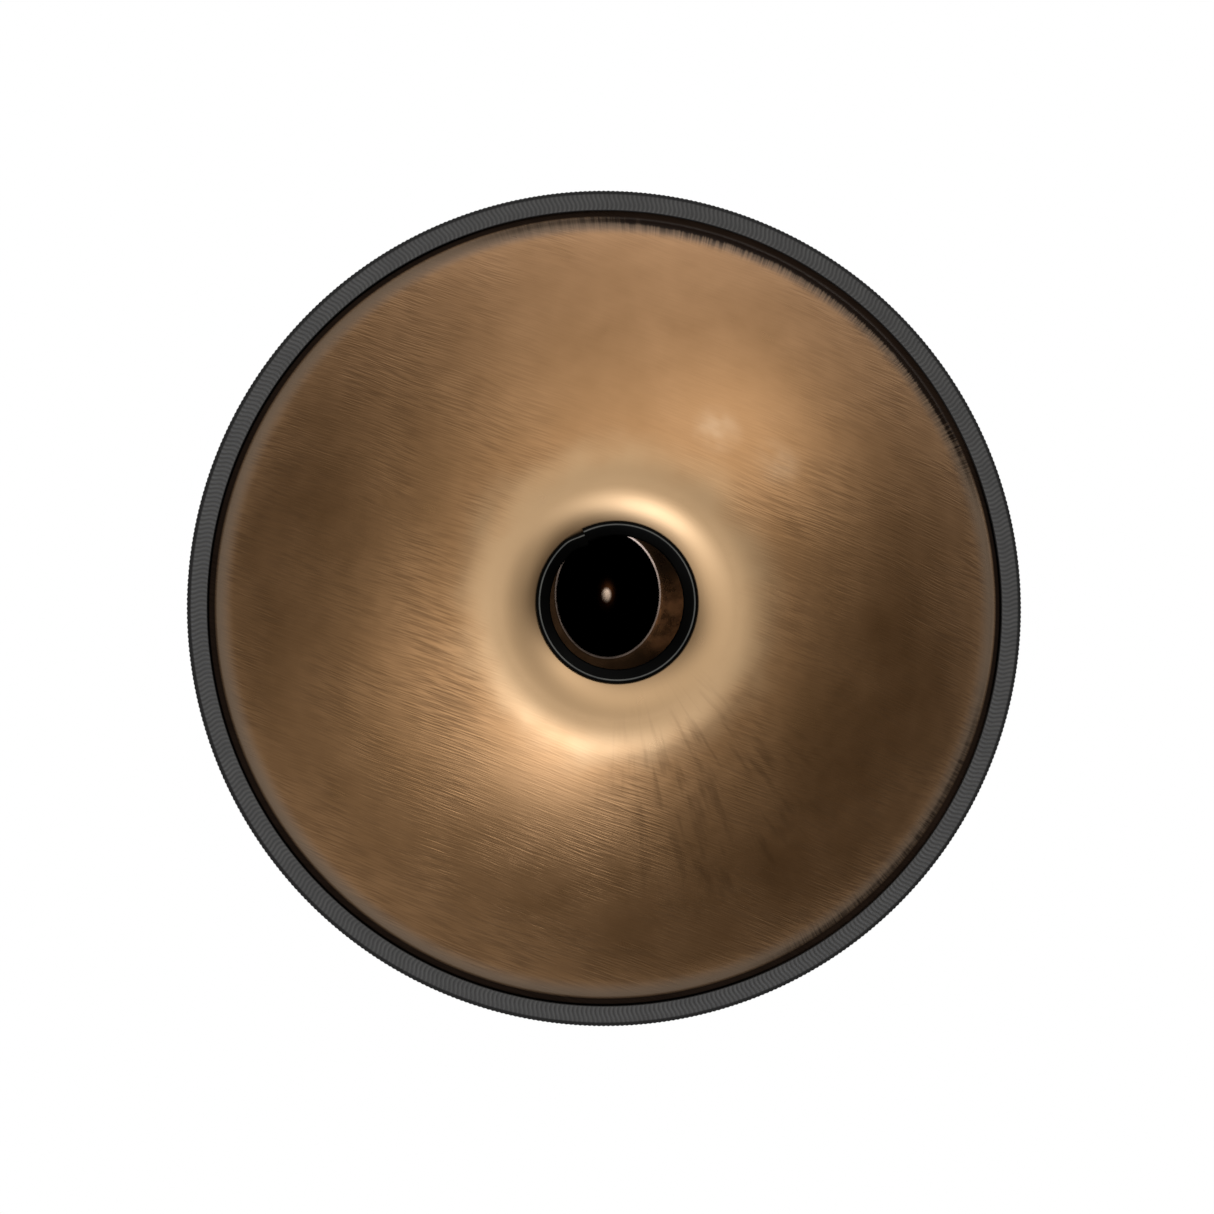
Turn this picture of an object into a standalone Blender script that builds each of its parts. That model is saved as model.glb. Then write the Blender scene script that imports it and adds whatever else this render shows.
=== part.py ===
"""Handpan: two domed metal shells bonded at their flanges, with a rim trim and a port trim.

Metres, +Z up. The playing side is up. The port's axis is the Z axis, and the plane z = 0 is
the one the instrument stands on, which touches the rolled crest round the sound port.
"""

import math

import bmesh
import bpy
import numpy as np
from mathutils import Matrix

# Whole instrument
OUTSIDE_RADIUS = 0.275
SHEET = 0.0012
GAP = 0.0003
STEPS = 56
STEP_ANGLE = 2 * math.pi / STEPS
MERGE_DISTANCE = 0.00001
SHEET_SHARP_ANGLE = 50

# Lower shell, along its outer face from the port outwards
LIP_RADIUS = 0.0450
NECK_SLOPE = math.radians(28)
NECK_ROLL = 0.048
CREST_INNER = 0.0745
CREST_OUTER = 0.0775
CREST_ROLL = 0.068
CREST_SLOPE = math.radians(17.5)
MAIN_ARC = 0.38
SHOULDER_ARC = 0.120
SHOULDER_SLOPE = math.radians(55)
FILLET = 0.0035
FLANGE_INNER = 0.2585
FLANGE_OUTER = 0.2705

# Straight segments that each arc of the outlines is drawn with
NECK_SEGMENTS = 4
CREST_SEGMENTS = 2
MAIN_SEGMENTS = 5
SHOULDER_SEGMENTS = 4
FILLET_SEGMENTS = 3

# Bond between the flanges, and the bead along its inner edge
BOND_THICKNESS = 0.0008
BEAD_THICKNESS = 0.0013
BEAD_WIDTH = 0.0050

# Upper shell: the central dome, then the tone fields around it
DING_HALF_WIDTH = 0.0345
DING_HALF_LENGTH = 0.0420
DING_MEAN_RADIUS = (DING_HALF_WIDTH + DING_HALF_LENGTH) / 2
DING_RISE = 0.019
DING_CENTRE = (-0.0075, 0.0120)
DING_RING_SHARES = (0.30, 0.60, 0.85, 1.0, 1.1)
CROWN_RING_START = 0.054
CROWN_RING_COUNT = 17
DING_CREASE = 0.05
CENTRE_FIELD_RADIUS = 0.064
CENTRE_FIELD_SOFTNESS = 0.0008
WARPED_RADIUS = 0.086
FIELD_COUNT = 8
FIELD_CIRCLE = 0.167
FIELD_LENGTHS = (0.142, 0.098)
FIELD_WIDTHS = (0.124, 0.084)
FIELD_FLATTENING = 0.65
FIELD_CREASE = 0.15
DIMPLE_SHARE = 0.31
DIMPLE_DEPTH = 0.0045
HAMMERED_RADIUS = 0.248
HAMMERED_FADE = 0.012

# Rim trim: a U channel over both flanges, with a steel clip strip in it
TRIM_LIP_RADIUS = 0.2615
TRIM_COVER = 0.0015
TRIM_ROUNDING = 0.0028
CORE_SHEET = 0.0006
CORE_BEND = 0.0008
RIM_JOINT_STEP = 14
RIM_JOINT_GAP = 0.0006

# Port trim: a U channel over the port's raw edge
PORT_TRIM_LEG = 0.0097
PORT_TRIM_WALL = 0.0024
PORT_TRIM_ROUNDING = 0.0011
PORT_JOINT_STEP = 10
PORT_JOINT_GAP = 0.0006

# Colours, as linear RGB
BRONZE = (0.42, 0.25, 0.12, 1.0)
BRONZE_DARK = (0.36, 0.21, 0.10, 1.0)
TRIM_GREY = (0.035, 0.035, 0.036, 1.0)
RUBBER_BLACK = (0.012, 0.012, 0.012, 1.0)
BARE_STEEL = (0.45, 0.45, 0.46, 1.0)
ADHESIVE = (0.05, 0.045, 0.04, 1.0)


# ---------------------------------------------------------------- outlines in the (radius, height) plane


def arc_run(start, radius, slope_from, slope_to, count):
    """Points of an arc that starts at start and turns from one slope to another. Radius counts
    positive where the slope grows outwards, so the curve is hollow upwards."""
    r, z = start
    points = []
    for i in range(1, count + 1):
        slope = slope_from + (slope_to - slope_from) * i / count
        points.append(
            (
                r + radius * (math.sin(slope) - math.sin(slope_from)),
                z - radius * (math.cos(slope) - math.cos(slope_from)),
            )
        )
    return points


def shoulder_start_sine():
    """Sine of the slope where the main arc meets the shoulder arc, from the flange's inner radius."""
    shoulder_end = FLANGE_INNER - FILLET * math.sin(SHOULDER_SLOPE)
    main_start = CREST_OUTER + CREST_ROLL * math.sin(CREST_SLOPE)
    at_shoulder = shoulder_end - SHOULDER_ARC * math.sin(SHOULDER_SLOPE)
    at_main = main_start - MAIN_ARC * math.sin(CREST_SLOPE)
    return (at_shoulder - at_main) / (MAIN_ARC - SHOULDER_ARC)


def shoulder_and_flange(start, slope):
    """Shoulder arc, fillet and flat flange, from the end of the main arc outwards."""
    points = arc_run(start, SHOULDER_ARC, slope, SHOULDER_SLOPE, SHOULDER_SEGMENTS)
    points += arc_run(points[-1], -FILLET, SHOULDER_SLOPE, 0, FILLET_SEGMENTS)
    points.append((FLANGE_OUTER, points[-1][1]))
    return points


def lower_outline():
    """Outer face of the lower shell, from the port's lip over the crest to the flange's edge."""
    slope = math.asin(shoulder_start_sine())
    neck = arc_run((CREST_INNER, 0), NECK_ROLL, 0, -NECK_SLOPE, NECK_SEGMENTS)
    cone_top = neck[-1]
    lip = (LIP_RADIUS, cone_top[1] + (cone_top[0] - LIP_RADIUS) * math.tan(NECK_SLOPE))
    points = [lip] + neck[::-1] + [(CREST_INNER, 0), (CREST_OUTER, 0)]
    points += arc_run(points[-1], CREST_ROLL, 0, CREST_SLOPE, CREST_SEGMENTS)
    points += arc_run(points[-1], MAIN_ARC, CREST_SLOPE, slope, MAIN_SEGMENTS)
    return points + shoulder_and_flange(points[-1], slope)


def dome_end():
    """Radius and slope where the upper shell's dome meets its shoulder arc."""
    slope = math.asin(shoulder_start_sine())
    shoulder_end = FLANGE_INNER - FILLET * math.sin(SHOULDER_SLOPE)
    return shoulder_end - SHOULDER_ARC * (math.sin(SHOULDER_SLOPE) - math.sin(slope)), slope


def dome_fall(radius):
    """How far the upper shell's plain dome lies below its top, inside its shoulder."""
    end, slope = dome_end()
    dome_radius = end / math.sin(slope)
    return dome_radius - np.sqrt(dome_radius**2 - radius**2)


def crown_radii():
    """Radii of the upper shell's rings: close together up to the edge of the ding dome, even beyond."""
    inner = [DING_MEAN_RADIUS * share for share in DING_RING_SHARES]
    return inner + list(np.linspace(CROWN_RING_START, dome_end()[0], CROWN_RING_COUNT))


def upper_outline():
    """Outer face of the upper shell before hammering, from the centre to the flange's edge, with
    the top of the dome at height 0. It is drawn upside down, as the lower shell lies, and turned over."""
    points = [(0.0, 0.0)] + [(radius, dome_fall(radius)) for radius in crown_radii()]
    points += shoulder_and_flange(points[-1], dome_end()[1])
    return [(float(radius), -float(height)) for radius, height in points]


LOWER_FLANGE_FACE = lower_outline()[-1][1]
BOND_MIDDLE = LOWER_FLANGE_FACE + SHEET + GAP + BOND_THICKNESS / 2
STACK_HALF = BOND_THICKNESS / 2 + GAP + SHEET
CROWN_TOP = BOND_MIDDLE + STACK_HALF - upper_outline()[-1][1]


# ---------------------------------------------------------------- objects


def clear_scene():
    for item in list(bpy.data.objects):
        bpy.data.objects.remove(item, do_unlink=True)


def material(name, colour, roughness, metallic):
    made = bpy.data.materials.new(name)
    made.use_nodes = True
    shader = made.node_tree.nodes["Principled BSDF"]
    shader.inputs["Base Color"].default_value = colour
    shader.inputs["Roughness"].default_value = roughness
    shader.inputs["Metallic"].default_value = metallic
    made.diffuse_color = colour
    return made


def collection(name):
    made = bpy.data.collections.new(name)
    bpy.context.scene.collection.children.link(made)
    return made


def outline_mesh(name, points, closed):
    """A mesh of edges through the points, in the XZ plane at +X."""
    mesh = bpy.data.meshes.new(name)
    last = len(points) if closed else len(points) - 1
    edges = [(i, (i + 1) % len(points)) for i in range(last)]
    mesh.from_pydata([(r, 0, z) for r, z in points], edges, [])
    return mesh


def turned(name, points, closed, home, sweep=2 * math.pi):
    """An object with the outline turned about Z by a Screw modifier."""
    item = bpy.data.objects.new(name, outline_mesh(name, points, closed))
    home.objects.link(item)
    screw = item.modifiers.new("Turn", "SCREW")
    screw.axis = "Z"
    screw.angle = sweep
    screw.steps = STEPS
    screw.render_steps = STEPS
    screw.use_merge_vertices = sweep == 2 * math.pi
    screw.merge_threshold = MERGE_DISTANCE
    return item


def baked(item):
    """Replaces the object's mesh and modifiers with the mesh that they give."""
    bpy.context.view_layer.update()
    graph = bpy.context.evaluated_depsgraph_get()
    mesh = bpy.data.meshes.new_from_object(item.evaluated_get(graph))
    item.modifiers.clear()
    old = item.data
    item.data = mesh
    bpy.data.meshes.remove(old)
    return item


def finish_surface(item, surface, angle=35):
    item.data.materials.append(surface)
    item.data.shade_smooth()
    item.data.set_sharp_from_angle(angle=math.radians(angle))
    return item


def thicken(item, away):
    """Gives the open skin its sheet thickness, on the side away from its outer face."""
    solidify = item.modifiers.new("Sheet", "SOLIDIFY")
    solidify.thickness = SHEET
    solidify.offset = away
    solidify.use_even_offset = True
    return item


# ---------------------------------------------------------------- hammered shape of the upper shell


def smooth(value):
    """0 below 0, 1 above 1, and a smooth step between."""
    value = np.clip(value, 0, 1)
    return value * value * (3 - 2 * value)


def soft_ramp(value, softness):
    """Value where it is positive and 0 where it is negative, with the corner between rounded."""
    return (value + np.sqrt(value**2 + softness**2)) / 2


def tone_fields():
    """Centre angle, half length along the radius and half width of each tone field. The largest two
    lie in front, and the fields get smaller by turns on the right and the left towards the back."""
    share = math.pi / FIELD_COUNT
    for index in range(FIELD_COUNT):
        side = -1 if index % 2 == 0 else 1
        angle = -math.pi / 2 + side * share * (1 + 2 * (index // 2))
        rank = index / (FIELD_COUNT - 1)
        length = FIELD_LENGTHS[0] + (FIELD_LENGTHS[1] - FIELD_LENGTHS[0]) * rank
        width = FIELD_WIDTHS[0] + (FIELD_WIDTHS[1] - FIELD_WIDTHS[0]) * rank
        yield angle, length / 2, width / 2


def field_drop(x, y):
    """How far the tone fields and their dimples lie below the plain dome at a point in plan."""
    end, slope = dome_end()
    dome_radius = end / math.sin(slope)
    drop = np.zeros_like(x)
    for angle, half_length, half_width in tone_fields():
        along = x * math.cos(angle) + y * math.sin(angle) - FIELD_CIRCLE
        across = -x * math.sin(angle) + y * math.cos(angle)
        out = np.hypot(along / half_length, across / half_width)
        sag = half_length * half_width / (2 * dome_radius)
        drop += FIELD_FLATTENING * sag * soft_ramp(1 - out**2, FIELD_CREASE)
        drop += DIMPLE_DEPTH * soft_ramp(1 - (out / DIMPLE_SHARE) ** 2, FIELD_CREASE)
    return drop


def ding_share(radius):
    """1 over the ding dome, falling to 0 where the rings are round again."""
    return 1 - smooth((radius - DING_HALF_LENGTH) / (WARPED_RADIUS - DING_HALF_LENGTH))


def centre_drop(radius):
    """How far the flat field round the ding lies below the plain dome."""
    return soft_ramp(dome_fall(CENTRE_FIELD_RADIUS) - dome_fall(radius), CENTRE_FIELD_SOFTNESS)


def ding_plan(x, y):
    """Moves the inner rings so that the ding dome's edge is an oval about its own centre."""
    near = ding_share(np.hypot(x, y))
    wide = 1 + (DING_HALF_WIDTH / DING_MEAN_RADIUS - 1) * near
    long = 1 + (DING_HALF_LENGTH / DING_MEAN_RADIUS - 1) * near
    return x * wide + DING_CENTRE[0] * near, y * long + DING_CENTRE[1] * near


def ding_rise(x, y):
    """Height of the ding dome above the plain dome: a cap with a crease round its edge."""
    out = np.hypot((x - DING_CENTRE[0]) / DING_HALF_WIDTH, (y - DING_CENTRE[1]) / DING_HALF_LENGTH)
    return DING_RISE * soft_ramp(1 - out**2, DING_CREASE)


def hammer(mesh):
    """Shapes the plain dome: warps its inner rings, raises the ding and sinks the tone fields."""
    points = np.empty(len(mesh.vertices) * 3)
    mesh.vertices.foreach_get("co", points)
    points = points.reshape(-1, 3)
    plain_radius = np.hypot(points[:, 0], points[:, 1])
    x, y = ding_plan(points[:, 0], points[:, 1])
    radius = np.hypot(x, y)
    warped = plain_radius < WARPED_RADIUS
    points[warped, 2] = CROWN_TOP - dome_fall(radius[warped])
    fade = 1 - smooth((radius - HAMMERED_RADIUS + HAMMERED_FADE) / HAMMERED_FADE)
    raised = ding_rise(x, y) - field_drop(x, y) - centre_drop(radius)
    points[:, 0] = x
    points[:, 1] = y
    points[:, 2] += raised * fade
    mesh.vertices.foreach_set("co", points.ravel())
    mesh.update()


# ---------------------------------------------------------------- the pieces


def make_top_shell(home, surface):
    outline = [(r, CROWN_TOP + z) for r, z in upper_outline()]
    shell = baked(turned("top_shell", outline, False, home))
    hammer(shell.data)
    finish_surface(shell, surface, SHEET_SHARP_ANGLE)
    return thicken(shell, -1)


def make_bottom_shell(home, surface):
    shell = baked(turned("bottom_shell", lower_outline()[::-1], False, home))
    finish_surface(shell, surface, SHEET_SHARP_ANGLE)
    return thicken(shell, -1)


def make_flange_bond(home, surface):
    """The adhesive ring. Its inner edge swells into a bead in the groove between the shells."""
    half = BOND_THICKNESS / 2
    bead_half = BEAD_THICKNESS / 2
    bead_end = FLANGE_INNER - BEAD_WIDTH
    lower = [
        (FLANGE_OUTER - GAP, -half),
        (FLANGE_INNER, -half),
        (FLANGE_INNER - BEAD_WIDTH / 2, -bead_half),
        (bead_end + bead_half, -bead_half),
    ]
    outline = lower + [(bead_end, 0)] + [(r, -z) for r, z in lower[::-1]]
    ring = turned("flange_bond", outline, True, home)
    ring.location.z = BOND_MIDDLE
    return finish_surface(ring, surface)


def rim_channel(outer_radius, lip_radius, half_height, wall, rounding, lip):
    """Closed outline of a U channel that opens towards the axis, with lips turned in at its mouth."""
    back = outer_radius - wall
    mouth = half_height - wall
    corner = rounding * (1 - math.sqrt(0.5))
    upper = [
        (lip_radius, half_height),
        (outer_radius - rounding, half_height),
        (outer_radius - corner, half_height - corner),
        (outer_radius, half_height - rounding),
    ]
    lower = [(r, -z) for r, z in upper[::-1]]
    hollow = [
        (lip_radius, -mouth + lip),
        (lip_radius + wall, -mouth + lip),
        (lip_radius + wall, -mouth),
        (back, -mouth),
    ]
    if lip == 0:
        hollow = [(lip_radius, -mouth), (back, -mouth)]
    return upper + lower + hollow + [(r, -z) for r, z in hollow[::-1]]


def cut_ring(name, outline, height, gap_angle, start_step, home):
    """A ring bent from a strip, with the strip's two ends a small gap apart."""
    ring = baked(turned(name, outline, True, home, 2 * math.pi - gap_angle))
    shape = bmesh.new()
    shape.from_mesh(ring.data)
    ends = [edge for edge in shape.edges if edge.is_boundary]
    bmesh.ops.holes_fill(shape, edges=ends, sides=0)
    bmesh.ops.recalc_face_normals(shape, faces=shape.faces)
    bmesh.ops.triangulate(shape, faces=[face for face in shape.faces if len(face.verts) > 4])
    shape.transform(Matrix.Rotation(start_step * STEP_ANGLE + gap_angle / 2, 4, "Z"))
    shape.to_mesh(ring.data)
    shape.free()
    ring.location.z = height
    return ring


def make_rim_trim(home, surface):
    half_height = STACK_HALF + GAP + CORE_SHEET + GAP + TRIM_COVER
    outline = rim_channel(
        OUTSIDE_RADIUS, TRIM_LIP_RADIUS, half_height, TRIM_COVER, TRIM_ROUNDING, CORE_SHEET + GAP
    )
    gap_angle = RIM_JOINT_GAP / OUTSIDE_RADIUS
    ring = cut_ring("rim_trim", outline, BOND_MIDDLE, gap_angle, RIM_JOINT_STEP, home)
    return finish_surface(ring, surface)


def make_rim_trim_core(home, surface):
    half_height = STACK_HALF + GAP + CORE_SHEET
    outer = OUTSIDE_RADIUS - TRIM_COVER - GAP
    lip = TRIM_LIP_RADIUS + TRIM_COVER + GAP
    outline = rim_channel(outer, lip, half_height, CORE_SHEET, CORE_BEND, 0)
    gap_angle = RIM_JOINT_GAP / OUTSIDE_RADIUS
    ring = cut_ring("rim_trim_core", outline, BOND_MIDDLE, gap_angle, RIM_JOINT_STEP, home)
    return finish_surface(ring, surface)


def make_port_trim(home, surface):
    """The channel's outline is drawn along the port's cone: the first number runs from the back of
    the channel to the mouth, the second across the sheet, towards the inside of the instrument."""
    leg = PORT_TRIM_LEG
    inner_half = SHEET / 2 + GAP
    outer_half = inner_half + PORT_TRIM_WALL
    rounding = PORT_TRIM_ROUNDING
    half_outline = [
        (0.0, outer_half - 2 * rounding),
        (0.6 * rounding, outer_half - 0.6 * rounding),
        (2 * rounding, outer_half),
        (leg - rounding, outer_half),
        (leg, outer_half - rounding),
        (leg, inner_half),
        (PORT_TRIM_WALL, inner_half),
    ]
    channel = half_outline + [(along, -across) for along, across in half_outline[::-1]]
    lip_radius, lip_height = lower_outline()[0]
    back = PORT_TRIM_WALL + GAP
    cosine, sine = math.cos(NECK_SLOPE), math.sin(NECK_SLOPE)
    outline = []
    for along, across in channel:
        from_lip = along - back
        off_face = across + SHEET / 2
        outline.append(
            (
                lip_radius + from_lip * cosine + off_face * sine,
                lip_height - from_lip * sine + off_face * cosine,
            )
        )
    gap_angle = PORT_JOINT_GAP / LIP_RADIUS
    ring = cut_ring("port_trim", outline, 0, gap_angle, PORT_JOINT_STEP, home)
    return finish_surface(ring, surface)


def build():
    clear_scene()
    home = collection("handpan")
    bronze = material("brushed_bronze", BRONZE, 0.32, 1.0)
    bronze_dark = material("burnished_bronze", BRONZE_DARK, 0.28, 1.0)
    make_top_shell(home, bronze_dark)
    make_bottom_shell(home, bronze)
    make_flange_bond(home, material("cured_adhesive", ADHESIVE, 0.5, 0.0))
    make_rim_trim(home, material("ribbed_pvc", TRIM_GREY, 0.6, 0.0))
    make_rim_trim_core(home, material("spring_steel", BARE_STEEL, 0.35, 1.0))
    make_port_trim(home, material("black_rubber", RUBBER_BLACK, 0.4, 0.0))


build()
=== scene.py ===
"""Handpan looks: brushed bronze-toned shells, a ribbed rim trim and a smooth port trim.

The shells and trims are drawn again round the CAD frame with fine outlines and real surface
relief. The metres, axes and origin are the frame's: +Z up, the instrument stands on z = 0.
"""

import math

import bmesh
import bpy
import numpy as np
from mathutils import Matrix, Vector


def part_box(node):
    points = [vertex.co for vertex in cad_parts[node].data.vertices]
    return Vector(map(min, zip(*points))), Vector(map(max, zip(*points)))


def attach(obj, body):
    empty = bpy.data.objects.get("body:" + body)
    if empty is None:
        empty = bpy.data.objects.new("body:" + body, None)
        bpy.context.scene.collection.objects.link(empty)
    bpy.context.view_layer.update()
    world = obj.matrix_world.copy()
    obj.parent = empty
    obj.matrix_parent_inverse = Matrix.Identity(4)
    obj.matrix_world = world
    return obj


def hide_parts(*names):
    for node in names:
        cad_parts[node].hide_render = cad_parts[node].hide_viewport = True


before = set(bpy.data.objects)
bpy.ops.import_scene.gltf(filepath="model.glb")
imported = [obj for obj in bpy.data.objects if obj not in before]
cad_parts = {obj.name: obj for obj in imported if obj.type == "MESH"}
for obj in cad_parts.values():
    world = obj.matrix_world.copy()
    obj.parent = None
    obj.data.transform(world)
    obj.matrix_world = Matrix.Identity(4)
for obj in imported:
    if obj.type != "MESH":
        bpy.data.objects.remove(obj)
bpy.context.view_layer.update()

FLANGE_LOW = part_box("top_shell")[0]
FLANGE_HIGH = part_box("bottom_shell")[1]
RIM_LOW, RIM_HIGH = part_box("rim_trim")
BOND_LOW, BOND_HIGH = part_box("flange_bond")
BOND_MIDDLE = (BOND_LOW.z + BOND_HIGH.z) / 2

# Sheet and lower shell, along its outer face from the port outwards
SHEET = 0.0012
GAP = 0.0003
LIP_RADIUS = 0.0450
NECK_SLOPE = math.radians(28)
NECK_ROLL = 0.048
CREST_INNER = 0.0745
CREST_OUTER = 0.0775
CREST_ROLL = 0.068
CREST_SLOPE = math.radians(17.5)
MAIN_ARC = 0.38
SHOULDER_ARC = 0.120
SHOULDER_SLOPE = math.radians(55)
FILLET = 0.0035
FLANGE_INNER = 0.2585
FLANGE_OUTER = FLANGE_HIGH.x

# Upper shell: the central dome and the tone fields round it
DING_HALF_WIDTH = 0.0345
DING_HALF_LENGTH = 0.0420
DING_RISE = 0.019
DING_CENTRE = (-0.0075, 0.0120)
DING_CREASE = 0.05
CENTRE_FIELD_RADIUS = 0.064
CENTRE_FIELD_SOFTNESS = 0.0008
FIELD_COUNT = 8
FIELD_CIRCLE = 0.167
FIELD_LENGTHS = (0.142, 0.098)
FIELD_WIDTHS = (0.124, 0.084)
FIELD_FLATTENING = 0.65
FIELD_CREASE = 0.15
DIMPLE_SHARE = 0.31
DIMPLE_DEPTH = 0.0045
HAMMERED_RADIUS = 0.248
HAMMERED_FADE = 0.012

# Slow unevenness of the lower shell: its depth, and the radii between which it fades in and out
UNEVEN_DEPTH = 0.00045
UNEVEN_FADE_IN = 0.03
UNEVEN_OUTER = 0.225
UNEVEN_FADE_OUT = 0.025

# Straight segments that each run of the outlines is drawn with, and steps round the axis
NECK_SEGMENTS = 20
CREST_SEGMENTS = 10
MAIN_SEGMENTS = 34
DOME_SEGMENTS = 117
SHOULDER_SEGMENTS = 14
FILLET_SEGMENTS = 8
FLANGE_SEGMENTS = 4
LOWER_STEPS = 256
UPPER_STEPS = 240
PORT_STEPS = 240
ROUNDING_SEGMENTS = 8

# Rim trim: a ribbed U channel, cut at the joint
RIM_OUTER = RIM_HIGH.x
RIM_HALF_HEIGHT = (RIM_HIGH.z - RIM_LOW.z) / 2
RIM_LIP_RADIUS = 0.2615
RIM_COVER = 0.0015
RIM_ROUNDING = 0.0028
RIM_LIP_ROUNDING = 0.0005
RIM_MOUTH_LIP = 0.0009
RIM_JOINT_ANGLE = math.radians(90)
RIM_JOINT_GAP = 0.0001
RIB_COUNT = 561
RIB_SEGMENTS = 5
RIB_DEPTH = 0.00040
RIB_SWAY = 0.0010

# Port trim: a smooth U channel on the port's raw edge
PORT_LEG = 0.0097
PORT_WALL = 0.0024
PORT_NOSE_ROUNDING = 0.0021
PORT_END_ROUNDING = 0.0023
PORT_JOINT_ANGLE = math.radians(64.3)
PORT_JOINT_GAP = 0.0002
PORT_JOINT_STEP = 0.0022
PORT_JOINT_REACH = math.radians(16)

# Brush strokes: direction in degrees, length, pitch, how far they drift and how deep they are
BRUSH_ANGLE = 21
STROKE_LENGTH_BELOW = 0.020
STROKE_LENGTH_ABOVE = 0.055
COARSE_PITCH = 0.00092
FINE_PITCH = 0.00045
STROKE_DRIFT = 0.009
BRUSH_RELIEF = 0.00028

# Where the finish differs: the burnished ring round the axis, calm patches in the brushing, a
# smudged patch, spots of painted highlight with their strength, and the rusty patch inside
BURNISHED_RADII = (0.078, 0.116)
BURNISH_DRIFT = 0.030
CALM_CENTRE = (-0.035, 0.17, 0.03)
HIGHLIGHT_CALM_CENTRE = (0.046, -0.105, 0.01)
SMUDGED_CENTRE = (-0.065, -0.130, 0.02)
PAINTED_HIGHLIGHT_SPOTS = (((-0.063, 0.109, 0.018), 0.30), ((-0.102, 0.088, 0.022), 0.20))
RUSTY_CENTRE = (-0.052, -0.004, 0.222)

# Radii between which each band near the rim fades in, or for the trim's lip fades out: a pale
# band of painted reflection, painted shade in the groove and by the flange, soot hairs with a root
# of painted shade, and painted shade on the trim's lip and outer edge
REFLECTION_BAND_RADII = (0.2430, 0.2540)
GROOVE_SHADE_RADII = (0.2554, 0.2578)
FLANGE_SHADE_RADII = (0.2598, 0.2608)
HAIR_RADII = (0.242, 0.2545)
ROOT_SHADE_RADII = (0.2512, 0.2545)
TRIM_LIP_SHADE_RADII = (0.2617, 0.2621)
TRIM_EDGE_SHADE_RADII = (0.2716, 0.2728)

# Painted light inside the ding: the painted highlight line along the crease as a share of the
# ding's half axes, and the half axes of the painted reflection spot in the middle and of the halo round
# it
CREASE_HIGHLIGHT_SHARE = 1.045
REFLECTION_SPOT_SIZE = (0.0036, 0.0052)
REFLECTION_HALO_SIZE = (0.0085, 0.0150)

# Colours, as linear RGB
DARK_BRONZE = (0.39, 0.218, 0.100, 1)
PALE_BRONZE = (0.465, 0.265, 0.127, 1)
BURNISHED_BRONZE = (0.51, 0.345, 0.195, 1)
BRUSHED_LOWS = (0.16, 0.088, 0.041, 1)
SMUDGE = (0.12, 0.065, 0.030, 1)
PAINTED_HIGHLIGHT_BRONZE = (0.74, 0.56, 0.38, 1)
PAINTED_REFLECTION_TAUPE = (0.27, 0.205, 0.150, 1)
PAINTED_GROOVE_SHADE = (0.016, 0.010, 0.007, 1)
FLANGE_SHADE = (0.001, 0.001, 0.001, 1)
HAIR_SOOT_AND_SHADE = (0.020, 0.012, 0.008, 1)
DING_PAINTED_SHADE = (0.0006, 0.0005, 0.0004, 1)
INNER_SOOT = (0.045, 0.024, 0.012, 1)
RUST_BROWN = (0.42, 0.19, 0.08, 1)
CREASE_PAINTED_HIGHLIGHT = (0.66, 0.52, 0.45, 1)
PAINTED_SPOT_HALO = (0.090, 0.030, 0.010, 1)
PAINTED_SPOT_REFLECTION = (0.88, 0.67, 0.52, 1)
DARK_PVC = (0.037, 0.037, 0.037, 1)
PALE_PVC = (0.056, 0.056, 0.055, 1)
PVC_GRAIN = (0.09, 0.088, 0.085, 1)
PVC_GROOVE_SHADE = (0.014, 0.014, 0.014, 1)
PVC_EDGE_SHADE = (0.006, 0.006, 0.006, 1)
CLEAN_RUBBER = (0.0004, 0.0004, 0.0004, 1)
DUSTY_RUBBER = (0.0012, 0.0012, 0.0011, 1)
HIGHLIGHT_LINE_DARK = (0.075, 0.078, 0.076, 1)
HIGHLIGHT_LINE_PALE = (0.115, 0.115, 0.105, 1)
DARK_ADHESIVE = (0.035, 0.031, 0.027, 1)
PALE_ADHESIVE = (0.065, 0.058, 0.050, 1)
DARK_STEEL = (0.38, 0.38, 0.39, 1)
PALE_STEEL = (0.52, 0.52, 0.53, 1)

TAU = 2 * math.pi


# ---------------------------------------------------------------- outlines in the (radius, height) plane


def arc_run(start, radius, slope_from, slope_to, count):
    """Points of an arc that starts at start and turns from one slope to another."""
    r, z = start
    points = []
    for i in range(1, count + 1):
        slope = slope_from + (slope_to - slope_from) * i / count
        across = math.sin(slope) - math.sin(slope_from)
        up = math.cos(slope_from) - math.cos(slope)
        points.append((r + radius * across, z + radius * up))
    return points


def shoulder_start():
    """Slope at which the main arc meets the shoulder arc."""
    shoulder_end = FLANGE_INNER - FILLET * math.sin(SHOULDER_SLOPE)
    main_start = CREST_OUTER + CREST_ROLL * math.sin(CREST_SLOPE)
    at_shoulder = shoulder_end - SHOULDER_ARC * math.sin(SHOULDER_SLOPE)
    at_main = main_start - MAIN_ARC * math.sin(CREST_SLOPE)
    return math.asin((at_shoulder - at_main) / (MAIN_ARC - SHOULDER_ARC))


def shoulder_and_flange(start, slope):
    """Points from the main arc's end, where it has the slope, to the flange's edge."""
    points = arc_run(start, SHOULDER_ARC, slope, SHOULDER_SLOPE, SHOULDER_SEGMENTS)
    points += arc_run(points[-1], -FILLET, SHOULDER_SLOPE, 0, FILLET_SEGMENTS)
    flange = points[-1][1]
    radii = np.linspace(FLANGE_INNER, FLANGE_OUTER, FLANGE_SEGMENTS + 1)[1:]
    return points + [(r, flange) for r in radii]


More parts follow.
